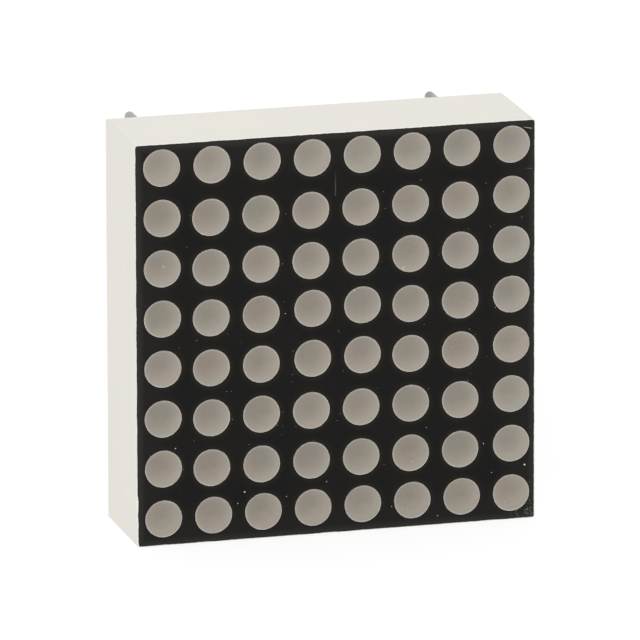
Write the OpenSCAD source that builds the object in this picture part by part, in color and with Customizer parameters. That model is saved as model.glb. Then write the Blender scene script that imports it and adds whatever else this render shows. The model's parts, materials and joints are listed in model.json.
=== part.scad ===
// Square LED dot matrix module: 8 by 8 round dots in a moulded reflector housing,
// with two rows of eight round pins at the back.
// Everything is drawn lying on its pins, face up, with the rear rim at z = 0,
// and stood upright at the end: face towards -Y, pins towards +Y, origin in the
// middle of the rear rim, where the module seats on its circuit board.

/* [Housing] */
// Width of the housing across the face
housing_w = 20; // [19.9:0.1:24]
// Height of the housing up the face
housing_h = 20; // [19.9:0.1:24]
// Depth of the housing from its face to its rear rim
housing_d = 5.8; // [4.6:0.1:9]
// Thickness of the walls round the rear pocket
wall_t = 0.5; // [0.3:0.02:0.54]
// Depth of the rear pocket that holds the circuit board
pocket_d = 2.5; // [2.3:0.05:3]
// Radius of the four long edges that run from the face to the rear
side_edge_r = 0.08; // [0.04:0.02:0.4]
// Radius of the edges round the face
face_edge_r = 0.03; // [0.02:0.01:0.1]
// Radius of the outer edges of the rear rim
rear_edge_r = 0.06; // [0.04:0.02:0.26]
// Radius of the pocket's upright corners
pocket_corner_r = 0.35; // [0.2:0.05:0.6]

/* [Dots] */
// Distance between neighbouring dots
dot_pitch = 2.5; // [2.4:0.01:2.5]
// Diameter of a dot, which is the mouth of its reflector cup
dot_d = 1.82; // [1.6:0.02:2]
// Diameter of a reflector cup at the circuit board
cup_floor_d = 1.4; // [1.3:0.05:1.5]
// Straight length of a cup under its mouth, before it tapers
cup_land = 0.2; // [0.1:0.05:0.6]
// Sideways offset of the outer ring of cups and the middle four
outer_set_x = 0.06; // [-0.1:0.01:0.1]
// Upward offset of the outer ring of cups and the middle four
outer_set_y = 0.09; // [-0.1:0.01:0.1]
// Sideways offset of the cups between them
inner_set_x = -0.02; // [-0.1:0.01:0.1]
// Upward offset of the cups between them
inner_set_y = -0.02; // [-0.1:0.01:0.1]

/* [Face print] */
// Thickness of the black print on the face
print_t = 0.03; // [0.02:0.005:0.06]
// Bare strip between the print and the rounded edge of the face
print_inset = 0; // [0:0.01:0.1]
// How far the print stands back from each cup's mouth
print_clear = 0.01; // [0.01:0.005:0.05]

/* [Resin] */
// How far the resin lies below the mouth of a cup
dot_sink = 0.03; // [0.01:0.01:0.08]
// Depth of the shallow dish in each dot
dish_depth = 0.05; // [0.02:0.01:0.1]
// Width of the flat ring round the dish
dish_rim = 0.08; // [0.04:0.01:0.2]
// How far the resin's rear surface lies inside the rim
rear_sink = 0.2; // [0.18:0.01:0.3]
// Radius of the resin's creep up the pocket walls
wall_creep_r = 0.14; // [0.05:0.01:0.16]
// Width of the resin's creep round each pin
pin_creep_w = 0.25; // [0.15:0.05:0.3]

/* [Circuit board] */
// Thickness of the board
board_t = 1; // [0.8:0.05:1.1]
// Gap round the board in its pocket
board_gap = 0.05; // [0.03:0.01:0.06]
// Height of the four pads that the board rests on
rest_h = 0.1; // [0.08:0.01:0.15]
// Length of a rest pad along the wall
rest_l = 1; // [0.6:0.1:1.4]
// Width of a rest pad in from the wall
rest_w = 0.3; // [0.15:0.05:0.3]
// Diameter of the two locating pegs
peg_d = 1.2; // [0.8:0.1:1.4]
// Distance between the two locating pegs
peg_spacing = 5; // [4.8:0.1:5.2]
// Gap between a peg and its hole
peg_clear = 0.05; // [0.03:0.01:0.06]
// How far a peg stands out behind the board
peg_stand = 0.25; // [0.15:0.05:0.3]
// Length of the taper on a peg's end
peg_taper = 0.12; // [0.05:0.01:0.14]

/* [Copper] */
// Thickness of the copper
copper_t = 0.035; // [0.018:0.001:0.04]
// Width of a track
track_w = 0.2; // [0.12:0.01:0.2]
// Least gap between two tracks at a pin
track_gap = 0.2; // [0.15:0.01:0.2]
// Diameter of the ring round each pin hole
ring_d = 0.9; // [0.84:0.01:0.92]
// Thickness of the copper lining of a pin hole
lining_t = 0.04; // [0.03:0.01:0.05]
// Diameter of a filled via
via_d = 0.16; // [0.1:0.01:0.2]

/* [LED dies and wires] */
// Side of a die
die_w = 0.25; // [0.2:0.01:0.3]
// Height of a die
die_h = 0.2; // [0.1:0.01:0.25]
// Side of the copper pad under a die
die_pad_w = 0.4; // [0.34:0.02:0.44]
// Distance from the dot's centre up to its die
die_offset = 0.2; // [0.16:0.01:0.24]
// Distance from the dot's centre down to its bond pad
bond_offset = 0.3; // [0.26:0.01:0.32]
// Width of a bond pad
bond_pad_w = 0.24; // [0.2:0.01:0.26]
// Diameter of a bond wire
wire_d = 0.03; // [0.02:0.005:0.04]
// Diameter of the ball that ties the wire to its die
ball_d = 0.09; // [0.06:0.01:0.12]
// Height of the ball
ball_h = 0.03; // [0.02:0.005:0.04]

/* [Pins] */
// Diameter of a pin
pin_d = 0.5; // [0.44:0.01:0.5]
// Distance between neighbouring pins in a row
pin_pitch = 2.54; // [2.5:0.01:2.55]
// Distance between the two rows of pins
pin_row_spacing = 15.24; // [15.1:0.02:15.3]
// Free length of a pin behind the rear rim
pin_length = 4.72; // [2:0.02:8]
// Length of the taper at a pin's tip
pin_tip = 0.12; // [0.05:0.01:0.2]
// Width across the flats of a pin's buried faceted shank
shank_w = 0.52; // [0.52:0.01:0.56]
// How far a pin's shank stops inside the rear rim
shank_stop = 0.1; // [0.08:0.01:0.12]
// Gap between a pin and its lined hole, filled with solder
solder_gap = 0.06; // [0.04:0.01:0.07]
// Height of the solder fillet behind the board
solder_h = 0.35; // [0.2:0.05:0.5]
// How far a pin and its solder stand out on the face side of the board
pin_head = 0.03; // [0.01:0.005:0.03]

/* [Hidden] */
$fn = 64;
// How far a cut runs past the surface it opens, and a joined piece into what carries it
eps = 0.01;

dots = 8;
sides = ["left", "right"];

// The pocket, and the board that lies in it
pocket_w = housing_w - 2 * wall_t;
pocket_h = housing_h - 2 * wall_t;
board_w = pocket_w - 2 * board_gap;
board_h = pocket_h - 2 * board_gap;
board_corner_r = pocket_corner_r - board_gap;
board_front = pocket_d - rest_h;
board_rear = board_front - board_t;
board_middle = board_front - board_t / 2;
copper_front = board_front + copper_t;
copper_rear = board_rear - copper_t;

// The cups run from the pocket's floor to the face
cup_depth = housing_d - pocket_d;
print_w = housing_w - 2 * (face_edge_r + print_inset);
print_h = housing_h - 2 * (face_edge_r + print_inset);

// A lined pin hole in the board
hole_r = pin_d / 2 + solder_gap;
lining_r = hole_r + lining_t;
ring_r = ring_d / 2;
shank_sides = 8;
shank_corner_r = shank_w / 2 / cos(180 / shank_sides);
// A track passes a ring at this distance from the pin's axis
pass_r = ring_r + track_gap + track_w / 2;

// The arch of a bond wire joins the ball on the die to the bond pad
die_top = copper_front + die_h;
arch_foot = die_top + ball_h;
arch_r = (die_offset + bond_offset) / 2;

// Place of the i-th of the dots or pins, counted from 1 and centred on the middle
function place(i, pitch) = (i - (dots + 1) / 2) * pitch;
function dot_at(i) = place(i, dot_pitch);
function pin_y(i) = place(i, pin_pitch);
function pin_x(side) = (side == "left" ? -1 : 1) * pin_row_spacing / 2;

// Which ring of the square pattern a cup is in, 0 for the outermost
function ring_of(i, j) = min(i - 1, j - 1, dots - i, dots - j);
function in_inner_set(i, j) = ring_of(i, j) > 0 && ring_of(i, j) < dots / 2 - 1;
function cup_at(i, j) = [
    dot_at(i) + (in_inner_set(i, j) ? inner_set_x : outer_set_x),
    dot_at(j) + (in_inner_set(i, j) ? inner_set_y : outer_set_y)
];

// Rectangle about the middle with true round corners
module rounded_rectangle(w, h, r) {
    square([w - 2 * r, h], center = true);
    square([w, h - 2 * r], center = true);
    for (x = [-1, 1], y = [-1, 1])
        translate([x * (w / 2 - r), y * (h / 2 - r)]) circle(r = r);
}

// Side view of a slab from y = 0 to d, with one radius at the top and one at the bottom
module slab_profile(w, d, top_r, bottom_r) {
    translate([-w / 2, bottom_r]) square([w, d - top_r - bottom_r]);
    translate([-w / 2 + top_r, d / 2]) square([w - 2 * top_r, d / 2]);
    translate([-w / 2 + bottom_r, 0]) square([w - 2 * bottom_r, d / 2]);
    for (x = [-1, 1]) {
        translate([x * (w / 2 - top_r), d - top_r]) circle(r = top_r);
        translate([x * (w / 2 - bottom_r), bottom_r]) circle(r = bottom_r);
    }
}

// Slab with round upright edges, and with its top and bottom edges rounded too
module rounded_slab(w, h, d, side_r, top_r, bottom_r) {
    intersection() {
        linear_extrude(d) rounded_rectangle(w, h, side_r);
        rotate([90, 0, 0]) linear_extrude(h + 1, center = true)
            slab_profile(w, d, top_r, bottom_r);
        rotate([90, 0, 90]) linear_extrude(w + 1, center = true)
            slab_profile(h, d, top_r, bottom_r);
    }
}

// Children at every cup
module at_cups() {
    for (i = [1:dots], j = [1:dots]) translate(cup_at(i, j)) children();
}

// Children at every pin
module at_pins() {
    for (side = sides, i = [1:dots]) translate([pin_x(side), pin_y(i)]) children();
}

// Children at both locating pegs
module at_pegs() {
    for (turn = [0, 180]) rotate(turn) translate([peg_spacing / 2, 0]) children();
}

// The tapered inside of a cup, from the pocket's floor to the height given
module cup_space(top) {
    straight = cup_depth - cup_land;
    rotate_extrude() polygon([
        [0, 0], [cup_floor_d / 2, 0], [dot_d / 2, straight], [dot_d / 2, top], [0, top]
    ]);
}

// ---- Housing ----

// One pad at the end of the pocket that lies this far from the middle along X
module rest_pad(wall) {
    translate([wall - rest_w, -rest_l / 2, board_front])
        cube([rest_w + eps, rest_l, rest_h + eps]);
}

module rest_pads() {
    for (turn = [0, 180]) rotate(turn) {
        rest_pad(pocket_w / 2);
        rotate(90) rest_pad(pocket_h / 2);
    }
}

module peg() {
    foot = board_rear - peg_stand;
    translate([0, 0, foot + peg_taper])
        cylinder(d = peg_d, h = pocket_d + eps - foot - peg_taper);
    translate([0, 0, foot])
        cylinder(d1 = peg_d - 2 * peg_taper, d2 = peg_d, h = peg_taper);
}

module housing() {
    color([0.91, 0.9, 0.86]) {
        difference() {
            rounded_slab(housing_w, housing_h, housing_d, side_edge_r, face_edge_r, rear_edge_r);
            translate([0, 0, -eps]) linear_extrude(pocket_d + eps)
                rounded_rectangle(pocket_w, pocket_h, pocket_corner_r);
            translate([0, 0, pocket_d]) at_cups() cup_space(cup_depth + eps);
        }
        rest_pads();
        at_pegs() peg();
    }
}

// ---- Black print on the face ----

module face_print() {
    color([0.13, 0.12, 0.12])
        translate([0, 0, housing_d]) linear_extrude(print_t) difference() {
            rounded_rectangle(print_w, print_h, side_edge_r);
            at_cups() circle(d = dot_d + 2 * print_clear);
        }
}

// ---- Circuit board ----

module board_outline() {
    difference() {
        rounded_rectangle(board_w, board_h, board_corner_r);
        at_pegs() circle(d = peg_d + 2 * peg_clear);
    }
}

module circuit_board() {
    color([0.2, 0.32, 0.2])
        translate([0, 0, board_rear]) linear_extrude(board_t) difference() {
            board_outline();
            at_pins() circle(r = lining_r);
            for (i = [1:dots], j = [1:dots])
                translate([dot_at(i), dot_at(j) - bond_offset]) circle(d = via_d);
            for (i = [1:linked]) translate([dot_at(i), channel(i)]) circle(d = via_d);
        }
}

// ---- Copper ----
// Each row of dies shares a track on the face side of the board, tied to a left pin.
// Each column of bond pads shares a track on the rear side, tied to a right pin.
// The first columns reach their pins along the face side, between two rows of dies.
// The last two columns lie beside their pins and reach them on the rear side.

linked = dots - 2;
function is_low(i) = i <= dots / 2;
// The right pin of a column, and the free channel beside the pin of a linked column
function pin_of(column) = column <= linked ? column + 1 : column == dots ? dots : 1;
function channel(column) =
    dot_at(pin_of(column)) + (is_low(pin_of(column)) ? -1 : 1) * dot_pitch / 2;

// Straight track between two points, both on one line along X or Y
module track(a, b) {
    translate((a + b) / 2)
        square([abs(b.x - a.x) + track_w, abs(b.y - a.y) + track_w], center = true);
}

module row_tracks(row) {
    y = dot_at(row) + die_offset;
    x = pin_x("right");
    // The track steps round the right pin on the side nearer the middle
    pass_y = pin_y(row) + (is_low(row) ? 1 : -1) * pass_r;
    track([dot_at(1), y], [x - pass_r, y]);
    track([x - pass_r, y], [x - pass_r, pass_y]);
    track([x - pass_r, pass_y], [x + pass_r, pass_y]);
    track([x + pass_r, pass_y], [x + pass_r, y]);
    track([x + pass_r, y], [dot_at(dots), y]);
    translate([pin_x("left"), pin_y(row)]) circle(r = ring_r);
    for (i = [1:dots]) translate([dot_at(i), y]) square(die_pad_w, center = true);
}

module column_front_tracks(column) {
    x = dot_at(column);
    for (j = [1:dots])
        translate([x, dot_at(j) - bond_offset]) square(bond_pad_w, center = true);
    translate([pin_x("right"), pin_y(pin_of(column))]) circle(r = ring_r);
    if (column <= linked) {
        y = channel(column);
        track([x, y], [pin_x("right"), y]);
        track([pin_x("right"), y], [pin_x("right"), pin_y(pin_of(column))]);
    }
}

module column_rear_tracks(column) {
    x = dot_at(column);
    low = dot_at(1) - bond_offset;
    high = dot_at(dots) - bond_offset;
    track([x, low], [x, column == dots ? max(high, pin_y(dots)) : high]);
    translate([pin_x("right"), pin_y(pin_of(column))]) circle(r = ring_r);
    if (column > linked) track([x, pin_y(pin_of(column))], [pin_x("right"), pin_y(pin_of(column))]);
}

// Solid copper lining at a pin hole, through the board and both layers
module lining() {
    translate([0, 0, copper_rear]) cylinder(r = lining_r, h = copper_front - copper_rear);
}

module hole() {
    translate([0, 0, copper_rear - eps])
        cylinder(r = hole_r, h = copper_front - copper_rear + 2 * eps);
}

module via() {
    translate([0, 0, board_rear - copper_t / 2]) cylinder(d = via_d, h = board_t + copper_t);
}

module row_net(row) {
    difference() {
        union() {
            translate([0, 0, board_front]) linear_extrude(copper_t) row_tracks(row);
            translate([pin_x("left"), pin_y(row)]) {
                lining();
                translate([0, 0, copper_rear]) cylinder(r = ring_r, h = copper_t);
            }
        }
        translate([pin_x("left"), pin_y(row)]) hole();
    }
}

module column_net(column) {
    difference() {
        union() {
            translate([0, 0, board_front]) linear_extrude(copper_t) column_front_tracks(column);
            translate([0, 0, copper_rear]) linear_extrude(copper_t) column_rear_tracks(column);
            translate([pin_x("right"), pin_y(pin_of(column))]) lining();
            for (j = [1:dots]) translate([dot_at(column), dot_at(j) - bond_offset]) via();
            if (column <= linked) translate([dot_at(column), channel(column)]) via();
        }
        translate([pin_x("right"), pin_y(pin_of(column))]) hole();
    }
}

module row_copper() {
    color([0.75, 0.47, 0.25]) for (i = [1:dots]) row_net(i);
}

module column_copper() {
    color([0.75, 0.47, 0.25]) for (i = [1:dots]) column_net(i);
}

// ---- Pins and their solder ----

module pin() {
    color([0.72, 0.72, 0.71]) {
        // Round tail in the board
        translate([0, 0, copper_rear])
            cylinder(d = pin_d, h = copper_front + pin_head - copper_rear);
        // Faceted shank that the resin grips
        translate([0, 0, shank_stop])
            cylinder(r = shank_corner_r, h = copper_rear - shank_stop, $fn = shank_sides);
        // Free round length, tapered at the tip
        translate([0, 0, -pin_length + pin_tip])
            cylinder(d = pin_d, h = pin_length - pin_tip + shank_stop);
        translate([0, 0, -pin_length])
            cylinder(d1 = pin_d - 2 * pin_tip, d2 = pin_d, h = pin_tip);
    }
}

// Solder outside the board: a fillet on the rear ring and a low collar on the front ring
module solder_outside() {
    neck_r = shank_corner_r + solder_gap / 4;
    translate([0, 0, copper_rear - solder_h])
        cylinder(r1 = neck_r, r2 = ring_r - solder_gap, h = solder_h);
    translate([0, 0, copper_front])
        cylinder(r1 = ring_r - solder_gap, r2 = hole_r, h = pin_head);
}

module solder() {
    color([0.66, 0.66, 0.66]) difference() {
        union() {
            solder_outside();
            translate([0, 0, copper_rear]) cylinder(r = hole_r, h = copper_front - copper_rear);
        }
        pin();
    }
}

// ---- LED dies and bond wires ----

module die() {
    translate([0, die_offset, copper_front + die_h / 2])
        cube([die_w, die_w, die_h], center = true);
}

module dies(row) {
    color([0.62, 0.6, 0.55])
        for (i = [1:dots]) translate([dot_at(i), dot_at(row)]) die();
}

module bond_wire() {
    translate([0, die_offset, die_top]) cylinder(d = ball_d, h = ball_h);
    translate([0, (die_offset - bond_offset) / 2, arch_foot])
        rotate([90, 0, 90]) rotate_extrude(angle = 180)
            translate([arch_r, 0]) circle(d = wire_d);
    translate([0, -bond_offset, copper_front])
        cylinder(d = wire_d, h = arch_foot - copper_front);
}

module bond_wires(row) {
    color([0.9, 0.75, 0.35])
        for (i = [1:dots]) translate([dot_at(i), dot_at(row)]) bond_wire();
}

// ---- Resin ----

// Resin in one cup, with a shallow round dish in its outer end
module resin_plug() {
    surface = cup_depth - dot_sink;
    dish_d = dot_d - 2 * dish_rim;
    dish_r = (pow(dish_d / 2, 2) + pow(dish_depth, 2)) / (2 * dish_depth);
    straight = cup_depth - cup_land;
    rotate_extrude() difference() {
        polygon([
            [0, 0], [cup_floor_d / 2, 0], [dot_d / 2, straight], [dot_d / 2, surface],
            [0, surface]
        ]);
        translate([0, surface - dish_depth + dish_r]) circle(r = dish_r, $fn = 720);
    }
}

// Air behind the resin, with the creep up the walls left standing
module rear_air() {
    air_d = 1;
    translate([0, 0, rear_sink - air_d])
        rounded_slab(pocket_w, pocket_h, air_d, pocket_corner_r, wall_creep_r, wall_creep_r);
}

// Everything that the resin surrounds on the board: the board itself and its copper
module board_space() {
    translate([0, 0, board_rear]) linear_extrude(board_t) board_outline();
    translate([0, 0, board_middle]) linear_extrude(copper_front - board_middle) {
        for (i = [1:dots]) row_tracks(i);
        for (i = [1:dots]) column_front_tracks(i);
    }
    translate([0, 0, copper_rear]) linear_extrude(board_middle - copper_rear) {
        at_pins() circle(r = ring_r);
        for (i = [1:dots]) column_rear_tracks(i);
    }
}

module resin() {
    color([0.62, 0.59, 0.55]) difference() {
        union() {
            difference() {
                linear_extrude(pocket_d)
                    rounded_rectangle(pocket_w, pocket_h, pocket_corner_r);
                rear_air();
                board_space();
                rest_pads();
            }
            at_pins() translate([0, 0, shank_stop])
                cylinder(r1 = shank_corner_r + solder_gap / 2,
                         r2 = shank_corner_r + pin_creep_w, h = rear_sink - shank_stop);
            translate([0, 0, pocket_d]) at_cups() resin_plug();
        }
        at_pegs() peg();
        at_pins() {
            solder_outside();
            pin();
        }
        for (i = [1:dots], j = [1:dots]) translate([dot_at(i), dot_at(j)]) {
            die();
            bond_wire();
        }
    }
}

module stand() {
    rotate([90, 0, 0]) children();
}

stand() housing();
stand() face_print();
stand() resin();
stand() circuit_board();
stand() row_copper();
stand() column_copper();
for (side = sides, i = [1:dots]) {
    at = [pin_x(side), pin_y(i)];
    stand() translate(at) pin();
    stand() translate(at) solder();
}
for (i = [1:dots]) {
    stand() dies(i);
    stand() bond_wires(i);
}
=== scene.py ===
"""The looks of the LED dot matrix module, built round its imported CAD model.

The module stands upright on its lower wall: face towards -Y, pins towards +Y, +Z up.
Lengths are in millimetres up to the point where a mesh or a place is made, then in metres.
"""

import json
import math
import random

import bmesh
import bpy
from mathutils import Matrix, Vector, noise


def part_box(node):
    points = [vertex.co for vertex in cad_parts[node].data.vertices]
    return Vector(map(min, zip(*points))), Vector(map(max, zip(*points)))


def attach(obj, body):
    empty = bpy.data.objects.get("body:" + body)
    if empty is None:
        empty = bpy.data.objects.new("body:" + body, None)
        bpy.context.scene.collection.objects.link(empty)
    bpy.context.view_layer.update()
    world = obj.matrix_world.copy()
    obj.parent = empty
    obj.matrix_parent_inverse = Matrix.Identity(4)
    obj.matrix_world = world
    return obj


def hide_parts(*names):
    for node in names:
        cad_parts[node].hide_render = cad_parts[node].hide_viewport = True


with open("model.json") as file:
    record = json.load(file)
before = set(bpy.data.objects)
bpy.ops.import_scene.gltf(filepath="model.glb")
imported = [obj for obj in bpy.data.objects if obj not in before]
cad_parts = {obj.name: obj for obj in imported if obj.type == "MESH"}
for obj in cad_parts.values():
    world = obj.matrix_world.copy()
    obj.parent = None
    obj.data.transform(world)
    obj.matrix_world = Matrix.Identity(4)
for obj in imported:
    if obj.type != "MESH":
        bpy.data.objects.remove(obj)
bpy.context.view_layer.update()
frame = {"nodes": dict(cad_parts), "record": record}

MM = 0.001

# ---------------------------------------------------------------- sizes of the face

DOTS = 8
DOT_PITCH = 2.5
DOT_RADIUS = 0.91
# The two sets of cups don't share a centre: the outer ring and the middle four sit
# a little up and to the right of the cups between them.
OUTER_SET = (0.06, 0.09)
INNER_SET = (-0.02, -0.02)

print_low, print_high = (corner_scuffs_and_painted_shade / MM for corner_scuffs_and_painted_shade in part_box("face_print"))
housing_low, housing_high = (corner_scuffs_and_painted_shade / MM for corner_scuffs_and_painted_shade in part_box("housing"))
PRINT_HALF = (print_high.x - print_low.x) / 2
PRINT_BACK = print_high.y
PRINT_FRONT = print_low.y
FACE_Y = housing_low.y
HOUSING_HALF = housing_high.x
FLOOR_Z = housing_low.z


def cup_centres():
    """Middle of each cup's mouth, across and up, row by row."""
    centres = []
    for row in range(DOTS):
        for column in range(DOTS):
            ring = min(row, column, DOTS - 1 - row, DOTS - 1 - column)
            shift = INNER_SET if 0 < ring < DOTS / 2 - 1 else OUTER_SET
            middle = (DOTS - 1) / 2
            centres.append(
                Vector((
                    (column - middle) * DOT_PITCH + shift[0],
                    (row - middle) * DOT_PITCH + shift[1],
                ))
            )
    return centres


# ---------------------------------------------------------------- node helpers


def add(tree, kind, inputs=None, **settings):
    """New node, with its settings and with values or links for its sockets."""
    new = tree.nodes.new(kind)
    for name, value in settings.items():
        setattr(new, name, value)
    for name, value in (inputs or {}).items():
        if isinstance(value, bpy.types.NodeSocket):
            tree.links.new(value, new.inputs[name])
        else:
            new.inputs[name].default_value = value
    return new


def calc(tree, operation, *values, clamp=False):
    """Result of a Math node."""
    inputs = dict(enumerate(values))
    return add(tree, "ShaderNodeMath", inputs, operation=operation, use_clamp=clamp).outputs[0]


def vector_calc(tree, operation, *values, result="Vector"):
    """Result of a Vector Math node."""
    inputs = dict(enumerate(values))
    return add(tree, "ShaderNodeVectorMath", inputs, operation=operation).outputs[result]


def between(tree, value, start, end):
    """0 where value is at start, 1 where it is at end, and a smooth ramp between them."""
    return add(
        tree, "ShaderNodeMapRange",
        {"Value": value, "From Min": start, "From Max": end},
        interpolation_type="SMOOTHSTEP",
    ).outputs["Result"]


def blend(tree, factor, first, second, mode="MIX"):
    """Colour that goes from first to second as factor goes from 0 to 1."""
    mix = add(tree, "ShaderNodeMix", data_type="RGBA", blend_type=mode)
    for socket, value in ((mix.inputs[0], factor), (mix.inputs[6], first), (mix.inputs[7], second)):
        if isinstance(value, bpy.types.NodeSocket):
            tree.links.new(value, socket)
        else:
            socket.default_value = value
    return mix.outputs[2]


def tint(tree, base, mask, strength, over):
    """Colour base with the colour over laid on it, up to strength where mask is 1."""
    return blend(tree, calc(tree, "MULTIPLY", mask, strength), base, over)


def scaled(tree, vector, factor):
    """A vector times a number."""
    inputs = {0: vector, "Scale": factor}
    return add(tree, "ShaderNodeVectorMath", inputs, operation="SCALE").outputs["Vector"]


def split(tree, vector):
    """The three parts of a vector."""
    return add(tree, "ShaderNodeSeparateXYZ", {"Vector": vector}).outputs


def colour(red, green, blue):
    """Linear colour of an sRGB colour given from 0 to 255."""
    def linear(value):
        value /= 255
        return value / 12.92 if value <= 0.04045 else ((value + 0.055) / 1.055) ** 2.4
    return (linear(red), linear(green), linear(blue), 1)


def new_group(name, inputs, outputs):
    """Empty node group with float or vector sockets."""
    tree = bpy.data.node_groups.new(name, "ShaderNodeTree")
    kinds = {"value": "NodeSocketFloat", "vector": "NodeSocketVector"}
    for socket, kind, default in inputs:
        made = tree.interface.new_socket(socket, in_out="INPUT", socket_type=kinds[kind])
        if default is not None:
            made.default_value = default
    for socket, kind in outputs:
        tree.interface.new_socket(socket, in_out="OUTPUT", socket_type=kinds[kind])
    return tree, tree.nodes.new("NodeGroupInput").outputs, tree.nodes.new("NodeGroupOutput")


def use(tree, group, inputs):
    """Places a node group in a material and returns its outputs."""
    return add(tree, "ShaderNodeGroup", inputs, node_tree=group).outputs


# ---------------------------------------------------------------- shared surface effects


def make_place():
    """Place on the part in millimetres, the same in every material."""
    tree, _, out = new_group("Place", [], [("Place", "vector")])
    coordinates = add(tree, "ShaderNodeTexCoord").outputs["Object"]
    tree.links.new(scaled(tree, coordinates, 1 / MM), out.inputs["Place"])
    return tree


# Share of the coarser step in the fine grain, and how much smaller the finer step is
COARSE_SHARE = 0.65
FINER_BY = 3.1


def make_fine_grain():
    """Fine two-step grain of moulded, cast or printed surfaces."""
    tree, given, out = new_group(
        "Fine grain",
        [("Place", "vector", None), ("Size", "value", 0.1), ("Contrast", "value", 0.05)],
        [("Tone", "value"), ("Height", "value")],
    )
    scale = calc(tree, "DIVIDE", 1.0, given["Size"])
    coarse = add(
        tree, "ShaderNodeTexNoise",
        {"Vector": given["Place"], "Scale": scale, "Detail": 2.0, "Roughness": 0.6},
    ).outputs["Fac"]
    fine = add(
        tree, "ShaderNodeTexNoise",
        {"Vector": given["Place"], "Scale": calc(tree, "MULTIPLY", scale, FINER_BY), "Detail": 1.0},
    ).outputs["Fac"]
    height = calc(
        tree, "ADD",
        calc(tree, "MULTIPLY", coarse, COARSE_SHARE), calc(tree, "MULTIPLY", fine, 1 - COARSE_SHARE),
    )
    swing = calc(tree, "MULTIPLY", calc(tree, "SUBTRACT", height, 0.5), given["Contrast"])
    tree.links.new(calc(tree, "ADD", 1.0, swing), out.inputs["Tone"])
    tree.links.new(height, out.inputs["Height"])
    return tree


# How far the outline of a speck is bent, and how many bends there are to a millimetre
SPECK_BEND = 0.06
SPECK_BENDS = 14.0


def make_specks():
    """Scattered specks: one at most in each cell, of a size that differs from cell to cell."""
    tree, given, out = new_group(
        "Specks",
        [("Place", "vector", None), ("Spacing", "value", 1.0), ("Size", "value", 0.05),
         ("Share", "value", 0.5)],
        [("Mask", "value")],
    )
    scale = calc(tree, "DIVIDE", 1.0, given["Spacing"])
    wobble = add(tree, "ShaderNodeTexNoise", {"Vector": given["Place"], "Scale": SPECK_BENDS})
    bent = vector_calc(
        tree, "MULTIPLY_ADD", wobble.outputs["Color"], (SPECK_BEND,) * 3, given["Place"],
    )
    cells = add(tree, "ShaderNodeTexVoronoi", {"Vector": bent, "Scale": scale})
    chance, shrink, _ = add(tree, "ShaderNodeSeparateColor", {"Color": cells.outputs["Color"]}).outputs
    reach = calc(tree, "MULTIPLY", calc(tree, "MULTIPLY", given["Size"], scale), shrink)
    inside = calc(tree, "LESS_THAN", cells.outputs["Distance"], reach)
    kept = calc(tree, "LESS_THAN", chance, given["Share"])
    tree.links.new(calc(tree, "MULTIPLY", inside, kept), out.inputs["Mask"])
    return tree


def make_clouds():
    """Broad cloudy patches, from cool at 0 to warm at 1."""
    tree, given, out = new_group(
        "Clouds", [("Place", "vector", None), ("Size", "value", 2.0)], [("Mask", "value")],
    )
    patches = add(
        tree, "ShaderNodeTexNoise",
        {"Vector": given["Place"], "Scale": calc(tree, "DIVIDE", 1.0, given["Size"]),
         "Detail": 3.0, "Roughness": 0.55, "Distortion": 0.4},
    ).outputs["Fac"]
    tree.links.new(between(tree, patches, 0.3, 0.7), out.inputs["Mask"])
    return tree


def make_cup_place():
    """Place across and up from the middle of the nearest cup, the distance from it, a chance
    value of the cup's own, and whether it is one of the cups that get light through a side wall."""
    tree, given, out = new_group(
        "Cup place", [("Place", "vector", None)],
        [("Across", "value"), ("Up", "value"), ("Distance", "value"), ("Chance", "value"),
         ("Lit", "value")],
    )
    x, _, z = split(tree, given["Place"])
    cell_x, cell_z = (
        calc(tree, "ADD", calc(tree, "FLOOR", calc(tree, "DIVIDE", value, DOT_PITCH)), 0.5)
        for value in (x, z)
    )
    outermost = DOTS / 2 - 1
    ring = calc(tree, "MAXIMUM", calc(tree, "ABSOLUTE", cell_x), calc(tree, "ABSOLUTE", cell_z))
    inner = calc(
        tree, "MULTIPLY",
        calc(tree, "GREATER_THAN", ring, 1.0), calc(tree, "LESS_THAN", ring, outermost),
    )
    offsets = []
    for value, cell, axis in ((x, cell_x, 0), (z, cell_z, 1)):
        shift = calc(tree, "MULTIPLY_ADD", inner, INNER_SET[axis] - OUTER_SET[axis], OUTER_SET[axis])
        middle = calc(tree, "MULTIPLY_ADD", cell, DOT_PITCH, shift)
        offsets.append(calc(tree, "SUBTRACT", value, middle))
    across, up = offsets
    distance = calc(tree, "SQRT", calc(
        tree, "ADD", calc(tree, "MULTIPLY", across, across), calc(tree, "MULTIPLY", up, up),
    ))
    cell = add(tree, "ShaderNodeCombineXYZ", {"X": cell_x, "Y": cell_z}).outputs["Vector"]
    chance = add(tree, "ShaderNodeTexWhiteNoise", {"Vector": cell}, noise_dimensions="3D")
    lit = calc(
        tree, "MAXIMUM",
        calc(tree, "GREATER_THAN", calc(tree, "ABSOLUTE", cell_z), outermost),
        calc(tree, "GREATER_THAN", cell_x, outermost),
    )
    results = {
        "Across": across, "Up": up, "Distance": distance, "Chance": chance.outputs["Value"], "Lit": lit,
    }
    for name, value in results.items():
        tree.links.new(value, out.inputs[name])
    return tree


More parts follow.
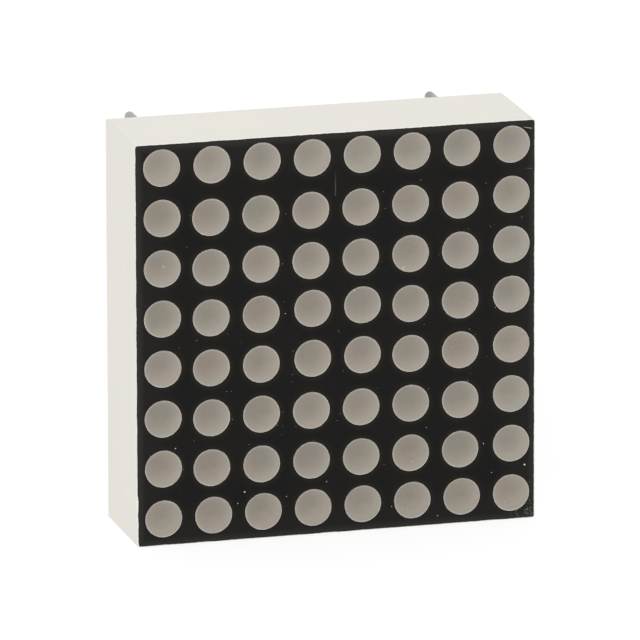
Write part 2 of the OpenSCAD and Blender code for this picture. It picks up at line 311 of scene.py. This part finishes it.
def make_scratch():
    """One straight scratch on the face, faint at its start and a little uneven along its length."""
    tree, given, out = new_group(
        "Scratch",
        [("Place", "vector", None), ("Start", "vector", None), ("End", "vector", None),
         ("Width", "value", 0.03)],
        [("Mask", "value")],
    )
    along = vector_calc(tree, "SUBTRACT", given["End"], given["Start"])
    from_start = vector_calc(tree, "SUBTRACT", given["Place"], given["Start"])
    there = vector_calc(tree, "MULTIPLY", from_start, (1, 0, 1))
    length_squared = vector_calc(tree, "DOT_PRODUCT", along, along, result="Value")
    reached = vector_calc(tree, "DOT_PRODUCT", there, along, result="Value")
    share = calc(tree, "DIVIDE", reached, length_squared, clamp=True)
    nearest = scaled(tree, along, share)
    distance = vector_calc(tree, "LENGTH", vector_calc(tree, "SUBTRACT", there, nearest), result="Value")
    line = calc(tree, "SUBTRACT", 1.0, between(tree, distance, 0.0, given["Width"]))
    broken = add(tree, "ShaderNodeTexNoise", {"Vector": given["Place"], "Scale": 9.0, "Detail": 2.0})
    unbroken = between(tree, broken.outputs["Fac"], 0.25, 0.5)
    worn = calc(tree, "MULTIPLY", unbroken, between(tree, share, -0.1, 0.7))
    tree.links.new(calc(tree, "MULTIPLY", line, worn), out.inputs["Mask"])
    return tree


PLACE = make_place()
FINE_GRAIN = make_fine_grain()
SPECKS = make_specks()
CLOUDS = make_clouds()
CUP_PLACE = make_cup_place()
SCRATCH = make_scratch()


# ---------------------------------------------------------------- materials

# Scratches in the ink: from, to, width, and how pale they are
FACE_SCRATCHES = (
    ((9.33, 0, 9.68), (9.8, 0, 9.58), 0.03, 0.9),
    ((-0.04, 0, 8.2), (-0.05, 0, 6.9), 0.05, 0.12),
    ((9.42, 0, 7.6), (9.8, 0, 7.57), 0.035, 0.2),
)


def new_material(name, **sockets):
    """Material with one Principled shader, plus the part's place in millimetres."""
    made = bpy.data.materials.new(name)
    made.use_nodes = True
    tree = made.node_tree
    shader = tree.nodes["Principled BSDF"]
    for socket, value in sockets.items():
        shader.inputs[socket.replace("_", " ")].default_value = value
    return made, tree, shader, use(tree, PLACE, {})["Place"]


def bump(tree, shader, height, depth):
    """Raises the surface by up to depth millimetres where height is 1."""
    raised = add(tree, "ShaderNodeBump", {"Strength": 1.0, "Distance": depth * MM, "Height": height})
    tree.links.new(raised.outputs["Normal"], shader.inputs["Normal"])


def moulded_plastic():
    """Cream-white moulding: faint clouds, fine grain, a few dark specks, a painted highlight along the
    front edge and painted shade down the long corners.
    """
    made, tree, shader, place = new_material("Moulded plastic", Specular_IOR_Level=0.35)
    x, y, z = split(tree, place)
    clouds = use(tree, CLOUDS, {"Place": place, "Size": 3.5})["Mask"]
    grain = use(tree, FINE_GRAIN, {"Place": place, "Size": 0.22, "Contrast": 0.06})
    base = blend(tree, clouds, colour(237, 233, 227), colour(239, 235, 225))
    base = blend(tree, 1.0, base, grain["Tone"], "MULTIPLY")
    dark = use(tree, SPECKS, {"Place": place, "Spacing": 1.3, "Size": 0.07, "Share": 0.4})["Mask"]
    base = tint(tree, base, dark, 0.3, colour(150, 128, 104))
    pale = use(tree, SPECKS, {"Place": place, "Spacing": 0.7, "Size": 0.08, "Share": 0.5})["Mask"]
    base = tint(tree, base, pale, 0.25, colour(250, 249, 246))

    # Painted highlight: the walls are palest along the face, where the rounded front edge catches the
    # light
    front = calc(
        tree, "MULTIPLY",
        calc(tree, "SUBTRACT", 1.0, between(tree, y, FACE_Y + 0.09, FACE_Y + 0.17)),
        between(tree, y, FACE_Y + 0.005, FACE_Y + 0.03),
    )
    base = tint(tree, base, front, 0.85, colour(253, 251, 249))
    # Painted shade: a shade greyer down the long corners, to offset the light that their round edges
    # catch
    nearer = calc(tree, "MINIMUM", calc(tree, "ABSOLUTE", x), calc(tree, "ABSOLUTE", z))
    corner_scuffs_and_painted_shade = between(tree, nearer, HOUSING_HALF - 0.08, HOUSING_HALF - 0.04)
    base = tint(tree, base, corner_scuffs_and_painted_shade, 0.3, colour(205, 200, 192))
    tree.links.new(base, shader.inputs["Base Color"])
    rough = calc(tree, "MULTIPLY_ADD", grain["Height"], 0.12, 0.46)
    tree.links.new(rough, shader.inputs["Roughness"])
    bump(tree, shader, grain["Height"], 0.006)
    return made


def black_ink():
    """Screen-printed black: lighter towards its border with a painted highlight along the very edge,
    brownish at the windows, dusty and scuffed.
    """
    made, tree, shader, place = new_material("Black ink", Specular_IOR_Level=0.1)
    x, _, z = split(tree, place)
    clouds = use(tree, CLOUDS, {"Place": place, "Size": 2.2})["Mask"]
    grain = use(tree, FINE_GRAIN, {"Place": place, "Size": 0.09, "Contrast": 1.7})
    base = blend(tree, clouds, colour(16, 17, 17), colour(23, 20, 18))
    base = blend(tree, 1.0, base, grain["Tone"], "MULTIPLY")

    # Round each window the ink lies thinner, and it takes a brown cast from the plastic
    cup = use(tree, CUP_PLACE, {"Place": place})
    beyond = between(tree, cup["Distance"], DOT_RADIUS + 0.02, DOT_RADIUS + 0.32)
    base = blend(tree, calc(tree, "SUBTRACT", 1.0, beyond), base, colour(31, 28, 22))

    # Lighter towards its four borders, and a painted highlight along the very edge, where the edge
    # catches the light
    reach = calc(tree, "MAXIMUM", calc(tree, "ABSOLUTE", x), calc(tree, "ABSOLUTE", z))
    near_border = between(tree, reach, PRINT_HALF - 2.2, PRINT_HALF - 0.5)
    base = blend(tree, near_border, base, colour(27, 26, 24))
    uneven = calc(tree, "MULTIPLY_ADD", grain["Height"], 0.16, calc(tree, "SUBTRACT", reach, 0.08))
    painted_border_highlight = between(tree, uneven, PRINT_HALF - 0.42, PRINT_HALF - 0.06)
    base = blend(tree, painted_border_highlight, base, colour(43, 41, 38))

    # Dust gathers on the lower half
    lower = calc(tree, "MULTIPLY_ADD", between(tree, z, 5.0, -8.0), 0.8, 0.2)
    dust = use(tree, SPECKS, {"Place": place, "Spacing": 0.42, "Size": 0.07, "Share": 0.3})["Mask"]
    base = tint(tree, base, dust, calc(tree, "MULTIPLY", lower, 0.16), colour(120, 124, 128))

    # Scuffs in the lower right corner
    corner_scuffs_and_painted_shade = calc(tree, "MULTIPLY", between(tree, x, 8.6, 9.5), between(tree, z, -8.7, -9.5))
    rubbed = add(
        tree, "ShaderNodeTexNoise", {"Vector": place, "Scale": 8.0, "Detail": 4.0, "Roughness": 0.8},
    )
    scuff = calc(tree, "MULTIPLY", corner_scuffs_and_painted_shade, between(tree, rubbed.outputs["Fac"], 0.54, 0.64))
    base = tint(tree, base, scuff, 0.4, colour(150, 146, 140))

    for start, end, width, strength in FACE_SCRATCHES:
        mark = use(tree, SCRATCH, {"Place": place, "Start": start, "End": end, "Width": width})["Mask"]
        base = tint(tree, base, mark, strength, colour(188, 184, 178))
    tree.links.new(base, shader.inputs["Base Color"])
    rough = calc(tree, "MULTIPLY_ADD", grain["Height"], 0.2, 0.48)
    tree.links.new(rough, shader.inputs["Roughness"])
    bump(tree, shader, grain["Height"], 0.004)
    return made


# Depths between which the resin goes from the look of the dots to that of the rear surface
DOTS_LOOK_Y = -4.0
REAR_LOOK_Y = -2.0


def milky_resin():
    """Cast diffusing resin: grey in the middle of a dot, paler to a bright thin rim, with painted light
    in its shading and its rim.
    """
    made, tree, shader, place = new_material("Milky resin", Specular_IOR_Level=0.25)
    _, y, _ = split(tree, place)
    cup = use(tree, CUP_PLACE, {"Place": place})
    grain = use(tree, FINE_GRAIN, {"Place": place, "Size": 0.16, "Contrast": 0.09})
    clouds = use(tree, CLOUDS, {"Place": place, "Size": 0.9})["Mask"]

    # Darker in the middle and towards the upper left, where less light comes back up the cup
    bowl = calc(tree, "MULTIPLY", cup["Distance"], cup["Distance"])
    slope = calc(
        tree, "ADD",
        calc(tree, "MULTIPLY", cup["Across"], 0.36), calc(tree, "MULTIPLY", cup["Up"], -0.5),
    )
    glow = calc(tree, "ADD", bowl, slope)
    # Painted light: the cups that get light through a side wall are paler
    glow = calc(tree, "ADD", glow, calc(tree, "MULTIPLY_ADD", cup["Lit"], 0.2, 0.05))
    glow = calc(tree, "ADD", glow, calc(tree, "MULTIPLY_ADD", cup["Chance"], 0.2, -0.1))
    glow = calc(tree, "ADD", glow, calc(tree, "MULTIPLY_ADD", clouds, 0.14, -0.07), clamp=True)
    deep = blend(tree, clouds, colour(136, 132, 121), colour(141, 130, 120))
    bright = blend(tree, clouds, colour(158, 153, 142), colour(162, 152, 141))
    dot = blend(tree, glow, deep, bright)
    # A bright thin rim, partly the white cup wall close under thin resin, partly a painted highlight
    # where the rim catches the light
    rim_and_painted_highlight = between(tree, cup["Distance"], DOT_RADIUS - 0.1, DOT_RADIUS - 0.04)
    dot = tint(tree, dot, rim_and_painted_highlight, 0.65, colour(178, 174, 167))

    # The rear surface: thicker resin, with the circuit board showing through as a green cast
    broad = use(tree, CLOUDS, {"Place": place, "Size": 4.0})["Mask"]
    rear = blend(tree, broad, colour(176, 176, 158), colour(190, 186, 170))
    behind = between(tree, y, DOTS_LOOK_Y, REAR_LOOK_Y)
    base = blend(tree, behind, dot, rear)
    base = blend(tree, 1.0, base, grain["Tone"], "MULTIPLY")

    light = use(tree, SPECKS, {"Place": place, "Spacing": 1.1, "Size": 0.08, "Share": 0.25})["Mask"]
    base = tint(tree, base, light, 0.4, colour(214, 210, 204))
    dark = use(tree, SPECKS, {"Place": place, "Spacing": 1.7, "Size": 0.09, "Share": 0.3})["Mask"]
    base = tint(tree, base, dark, 0.3, colour(92, 84, 76))
    tree.links.new(base, shader.inputs["Base Color"])
    rough = calc(tree, "MULTIPLY_ADD", clouds, 0.12, 0.42)
    rough = calc(tree, "MULTIPLY_ADD", behind, -0.2, rough)
    tree.links.new(rough, shader.inputs["Roughness"])
    waves = calc(tree, "MULTIPLY", broad, 2.0)
    bump(tree, shader, calc(tree, "ADD", grain["Height"], waves), 0.006)
    return made


def metal(name, bright, dull, rough, grain_size, relief):
    """Plain metal with a softly mottled tone and a fine grain, relief millimetres deep."""
    made, tree, shader, place = new_material(name, Metallic=1.0)
    clouds = use(tree, CLOUDS, {"Place": place, "Size": grain_size * 3})["Mask"]
    grain = use(tree, FINE_GRAIN, {"Place": place, "Size": grain_size, "Contrast": 0.12})
    base = blend(tree, clouds, dull, bright)
    base = blend(tree, 1.0, base, grain["Tone"], "MULTIPLY")
    tree.links.new(base, shader.inputs["Base Color"])
    tree.links.new(calc(tree, "MULTIPLY_ADD", clouds, -0.1, rough), shader.inputs["Roughness"])
    bump(tree, shader, grain["Height"], relief)
    return made


# Turns of the weave's wave, in radians to a millimetre
WEAVE_TURN = 16.0


def board_laminate():
    """Green-lacquered glass laminate with its weave just showing."""
    made, tree, shader, place = new_material("Board laminate", Roughness=0.45)
    x, _, z = split(tree, place)
    warp, weft = (calc(tree, "SINE", calc(tree, "MULTIPLY", value, WEAVE_TURN)) for value in (x, z))
    weave = calc(tree, "MULTIPLY", warp, weft)
    clouds = use(tree, CLOUDS, {"Place": place, "Size": 1.5})["Mask"]
    base = blend(tree, clouds, colour(38, 92, 58), colour(52, 108, 66))
    base = blend(tree, calc(tree, "MULTIPLY_ADD", weave, 0.08, 0.08), base, colour(150, 170, 110))
    tree.links.new(base, shader.inputs["Base Color"])
    bump(tree, shader, weave, 0.004)
    return made


def die_crystal():
    """Sawn semiconductor chip: grey-amber with saw lines up its sides."""
    made, tree, shader, place = new_material("Die crystal", Roughness=0.3)
    grain = use(tree, FINE_GRAIN, {"Place": place, "Size": 0.04, "Contrast": 0.3})
    base = blend(tree, grain["Height"], colour(120, 104, 84), colour(176, 160, 128))
    tree.links.new(base, shader.inputs["Base Color"])
    bump(tree, shader, grain["Height"], 0.003)
    return made


def dust_lint():
    """Pale dry dust."""
    made, tree, shader, place = new_material("Dust", Roughness=0.95, Specular_IOR_Level=0.1)
    grain = use(tree, FINE_GRAIN, {"Place": place, "Size": 0.03, "Contrast": 0.4})
    base = blend(tree, grain["Height"], colour(188, 186, 182), colour(232, 231, 228))
    tree.links.new(base, shader.inputs["Base Color"])
    bump(tree, shader, grain["Height"], 0.003)
    return made


# ---------------------------------------------------------------- printed film on the face


# How closely the broad and the fine waves of the ink's edge follow each other, and their shares
BROAD_WAVES, BROAD_SHARE = 1.1, 0.55
FINE_WAVES, FINE_SHARE = 6.0, 0.45


def ragged(point, amount, seed):
    """Small uneven offset that is the same for the same place."""
    broad = noise.noise(Vector((point.x * BROAD_WAVES, point.y * BROAD_WAVES, seed)))
    fine = noise.noise(Vector((point.x * FINE_WAVES, point.y * FINE_WAVES, seed + 7)))
    return amount * (BROAD_SHARE * broad + FINE_SHARE * fine)


def direction(angle):
    """Unit vector at an angle from the way across."""
    return Vector((math.cos(angle), math.sin(angle)))


# The film lies a little to the left and up on the face, its windows less far than its borders
FILM_SHIFT = Vector((-0.025, 0.022))
WINDOW_SHIFT = Vector((-0.009, 0.006))
FILM_CORNER_RADIUS = 0.1
FILM_CORNER_STEPS = 8
# Distance between the points of a straight side
FILM_STEP = 0.06
WINDOW_POINTS = 72
# Below this height the left border is chipped
CHIPS_TOP = -7.5


def film_outline():
    """Closed ragged outline of the ink, a square with small round corners."""
    straight = PRINT_HALF - FILM_CORNER_RADIUS
    corners = ((1, 1), (-1, 1), (-1, -1), (1, -1))
    points = []
    for index, (sx, sy) in enumerate(corners):
        centre = Vector((sx * straight, sy * straight))
        for turn in range(FILM_CORNER_STEPS + 1):
            normal = direction(math.radians(90 * index + 90 * turn / FILM_CORNER_STEPS))
            points.append((centre + FILM_CORNER_RADIUS * normal, normal))
        following = corners[(index + 1) % len(corners)]
        normal = direction(math.radians(90 * (index + 1)))
        end = Vector(following) * straight + FILM_CORNER_RADIUS * normal
        start = points[-1][0]
        count = int((end - start).length / FILM_STEP)
        for part in range(1, count):
            points.append((start.lerp(end, part / count), normal))
    outline = []
    for point, normal in points:
        chipped = point.x < 0 and point.y < CHIPS_TOP and abs(normal.x) > 0.5
        amount, inset = (0.07, 0.03) if chipped else (0.03, -0.008)
        outline.append(point + FILM_SHIFT + normal * (ragged(point, amount, 1.0) - inset))
    return outline


def film_window(centre, seed):
    """Slightly uneven round window in the ink."""
    ring = []
    for part in range(WINDOW_POINTS):
        normal = direction(2 * math.pi * part / WINDOW_POINTS)
        point = centre + WINDOW_SHIFT + normal * (DOT_RADIUS + 0.01)
        ring.append(point + normal * ragged(point, 0.014, seed))
    return ring


def printed_film():
    """Film of ink with a window at each cup, as one thin closed plate."""
    windows = [film_window(centre, 20.0 + 3 * i) for i, centre in enumerate(cup_centres())]
    loops = [film_outline()] + windows
    points, edges = [], []
    for loop in loops:
        first = len(points)
        points += loop
        edges += [(first + k, first + (k + 1) % len(loop)) for k in range(len(loop))]
    mesh = bmesh.new()
    low = [mesh.verts.new((p.x * MM, PRINT_BACK * MM, p.y * MM)) for p in points]
    rims = [mesh.edges.new((low[a], low[b])) for a, b in edges]
    bmesh.ops.triangle_fill(mesh, edges=rims, use_beauty=True)
    film = bmesh.ops.extrude_face_region(mesh, geom=mesh.faces[:])
    moved = [part for part in film["geom"] if isinstance(part, bmesh.types.BMVert)]
    bmesh.ops.translate(mesh, verts=moved, vec=(0, (PRINT_FRONT - PRINT_BACK) * MM, 0))
    bmesh.ops.recalc_face_normals(mesh, faces=mesh.faces[:])
    return as_piece("printed_film", mesh)


# The flecks that show: across, up, and radius. The last four lie on dots.
FLECKS = (
    (-4.65, -7.6, 0.036), (9.48, -7.28, 0.038), (-8.1, -5.16, 0.024), (7.81, -7.56, 0.02),
    (7.4, -6.07, 0.024), (5.07, -9.53, 0.026), (-5.0, -8.16, 0.022), (-2.57, 1.19, 0.024),
    (-0.53, -7.39, 0.02), (-2.55, -7.99, 0.018), (2.74, -8.9, 0.018), (9.59, -9.57, 0.016),
    (0.9, 2.09, 0.024), (3.81, -6.71, 0.022), (3.55, -9.06, 0.018), (8.47, -9.08, 0.02),
)
FINE_FLECKS = 110
# The fine flecks keep this far from the border, and most lie near this height
FLECK_MARGIN = 0.2
DUSTIEST_Z = -6.5


def fleck(mesh, x, z, radius, chance):
    """Low uneven crumb that lies on the face."""
    made = bmesh.ops.create_icosphere(mesh, subdivisions=2, radius=radius * MM)["verts"]
    stretch = chance.uniform(0.8, 1.3)
    seed = chance.uniform(0, 100)
    for vertex in made:
        lump = 1 + 0.5 * noise.noise(vertex.co / (radius * MM) * 1.3 + Vector((seed, 0, 0)))
        vertex.co *= lump
        vertex.co.x *= stretch
        vertex.co.y *= 0.45
    turn = Matrix.Rotation(chance.uniform(0, math.pi), 3, "Y")
    bmesh.ops.rotate(mesh, verts=made, matrix=turn)
    bmesh.ops.translate(mesh, verts=made, vec=(x * MM, (PRINT_FRONT - 0.3 * radius) * MM, z * MM))


def dust_flecks():
    """Crumbs of dust on the face, more of them on its lower half."""
    chance = random.Random(8)
    mesh = bmesh.new()
    for x, z, radius in FLECKS:
        fleck(mesh, x, z, radius, chance)
    reach = PRINT_HALF - FLECK_MARGIN
    for _ in range(FINE_FLECKS):
        x = chance.uniform(-reach, reach)
        z = chance.triangular(-reach, reach, DUSTIEST_Z)
        fleck(mesh, x, z, chance.uniform(0.006, 0.013), chance)
    return as_piece("dust_flecks", mesh)


def as_piece(name, mesh):
    """Object made from a bmesh."""
    data = bpy.data.meshes.new(name)
    mesh.to_mesh(data)
    mesh.free()
    made = bpy.data.objects.new(name, data)
    bpy.context.scene.collection.objects.link(made)
    return made


# ---------------------------------------------------------------- stage, light and camera

WHITE_BACKGROUND = 1.0
# Strength of the light from all round
AMBIENT = 0.68
# Metres
FLOOR_RADIUS = 1.2
FLOOR_GREY = 0.82
# Strength of the floor's plain white glow, and its share in what is seen of the floor
FLOOR_GLOW = 1.2
FLOOR_GLOW_SHARE = 0.65


def seen_directly(tree):
    """1 for what the camera sees, straight, in a shiny surface or through a clear one."""
    path = add(tree, "ShaderNodeLightPath").outputs
    seen = calc(tree, "MAXIMUM", path["Is Camera Ray"], path["Is Glossy Ray"])
    return calc(tree, "MAXIMUM", seen, path["Is Transmission Ray"])


def stage_floor():
    """Large pale floor that shows nearly white and keeps the module's soft shadow."""
    mesh = bmesh.new()
    bmesh.ops.create_circle(mesh, cap_ends=True, radius=FLOOR_RADIUS, segments=96)
    bmesh.ops.translate(mesh, verts=mesh.verts[:], vec=(0, 0, FLOOR_Z * MM))
    floor = as_piece("floor", mesh)
    made = bpy.data.materials.new("Pale floor")
    made.use_nodes = True
    tree = made.node_tree
    shader = tree.nodes["Principled BSDF"]
    shader.inputs["Roughness"].default_value = 0.9
    shader.inputs["Specular IOR Level"].default_value = 0.0
    shader.inputs["Base Color"].default_value = (FLOOR_GREY, FLOOR_GREY, FLOOR_GREY, 1)
    glow = add(tree, "ShaderNodeEmission", {"Color": (1, 1, 1, 1), "Strength": FLOOR_GLOW})
    mix = add(
        tree, "ShaderNodeMixShader",
        {0: calc(tree, "MULTIPLY", seen_directly(tree), FLOOR_GLOW_SHARE),
         1: shader.outputs["BSDF"], 2: glow.outputs["Emission"]},
    )
    tree.links.new(mix.outputs["Shader"], tree.nodes["Material Output"].inputs["Surface"])
    floor.data.materials.append(made)


def studio_world():
    """White where it is seen, and a softer plain level where it lights the module."""
    world = bpy.data.worlds.new("Studio")
    bpy.context.scene.world = world
    world.use_nodes = True
    tree = world.node_tree
    tree.nodes.clear()
    strength = calc(tree, "MULTIPLY_ADD", seen_directly(tree), WHITE_BACKGROUND - AMBIENT, AMBIENT)
    back = add(tree, "ShaderNodeBackground", {"Color": (1, 1, 1, 1), "Strength": strength})
    out = add(tree, "ShaderNodeOutputWorld")
    tree.links.new(back.outputs["Background"], out.inputs["Surface"])


def softbox(name, place, size, power):
    """Square area lamp that faces the middle of the module, placed and sized in metres."""
    light = bpy.data.lights.new(name, "AREA")
    light.shape = "SQUARE"
    light.size = size
    light.energy = power
    lamp = bpy.data.objects.new(name, light)
    bpy.context.scene.collection.objects.link(lamp)
    lamp.location = place
    lamp.rotation_euler = (-Vector(place)).to_track_quat("-Z", "Y").to_euler()


CAMERA_AZIMUTH = -15.257
CAMERA_ELEVATION = 14.669
CAMERA_ROLL = -0.15
CAMERA_DISTANCE = 570.47
CAMERA_LENS = 662.8
# What the camera looks at, and how far it is shifted to the side and up
AIM = Vector((OUTER_SET[0], FACE_Y, OUTER_SET[1]))
CAMERA_SHIFT = (-0.86, 0.56)


def stand_camera():
    """Long-lens camera at the front, a little to the left and above."""
    angles = (CAMERA_AZIMUTH, CAMERA_ELEVATION, CAMERA_ROLL)
    azimuth, elevation, roll = (math.radians(angle) for angle in angles)
    back = Vector((
        math.sin(azimuth) * math.cos(elevation),
        -math.cos(azimuth) * math.cos(elevation),
        math.sin(elevation),
    ))
    level = Vector((math.cos(azimuth), math.sin(azimuth), 0))
    above = back.cross(level)
    right = math.cos(roll) * level + math.sin(roll) * above
    up = -math.sin(roll) * level + math.cos(roll) * above
    place = AIM + CAMERA_DISTANCE * back + CAMERA_SHIFT[0] * right + CAMERA_SHIFT[1] * up
    lens = bpy.data.cameras.new("camera")
    lens.sensor_width = 36
    lens.lens = CAMERA_LENS
    lens.clip_start = 0.01
    camera = bpy.data.objects.new("camera", lens)
    bpy.context.scene.collection.objects.link(camera)
    turned = Matrix((right, up, back)).transposed().to_4x4()
    camera.matrix_world = Matrix.Translation(place * MM) @ turned
    bpy.context.scene.camera = camera


# ---------------------------------------------------------------- put together

stand_camera()
studio_world()
stage_floor()
softbox("front softbox", place=(-0.45, -0.85, 0.45), size=0.6, power=5.0)
softbox("top softbox", place=(0.1, 0.1, 0.9), size=0.6, power=0.65)

ink = black_ink()
finishes = {
    "housing": moulded_plastic(),
    "print": ink,
    "resin": milky_resin(),
    "board": board_laminate(),
    "copper": metal(
        "Etched copper", bright=colour(214, 142, 100), dull=colour(170, 102, 70),
        rough=0.42, grain_size=0.1, relief=0.004,
    ),
    "pin": metal(
        "Tinned pin", bright=colour(182, 179, 172), dull=colour(146, 142, 134),
        rough=0.36, grain_size=0.2, relief=0.0015,
    ),
    "solder": metal(
        "Solder", bright=colour(190, 190, 188), dull=colour(158, 158, 156),
        rough=0.34, grain_size=0.15, relief=0.005,
    ),
    "die": die_crystal(),
    "wire": metal(
        "Bond wire", bright=colour(235, 196, 110), dull=colour(206, 160, 80),
        rough=0.3, grain_size=0.05, relief=0.001,
    ),
}

film = printed_film()
film.data.materials.append(ink)
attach(film, "root")
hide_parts("face_print")

dust = dust_flecks()
dust.data.materials.append(dust_lint())
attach(dust, "root")

for part in frame["record"]["subparts"]:
    for place in frame["nodes"][part["node"]].material_slots:
        place.material = finishes[part["material_slot"]]

bpy.context.scene.view_settings.view_transform = "Standard"
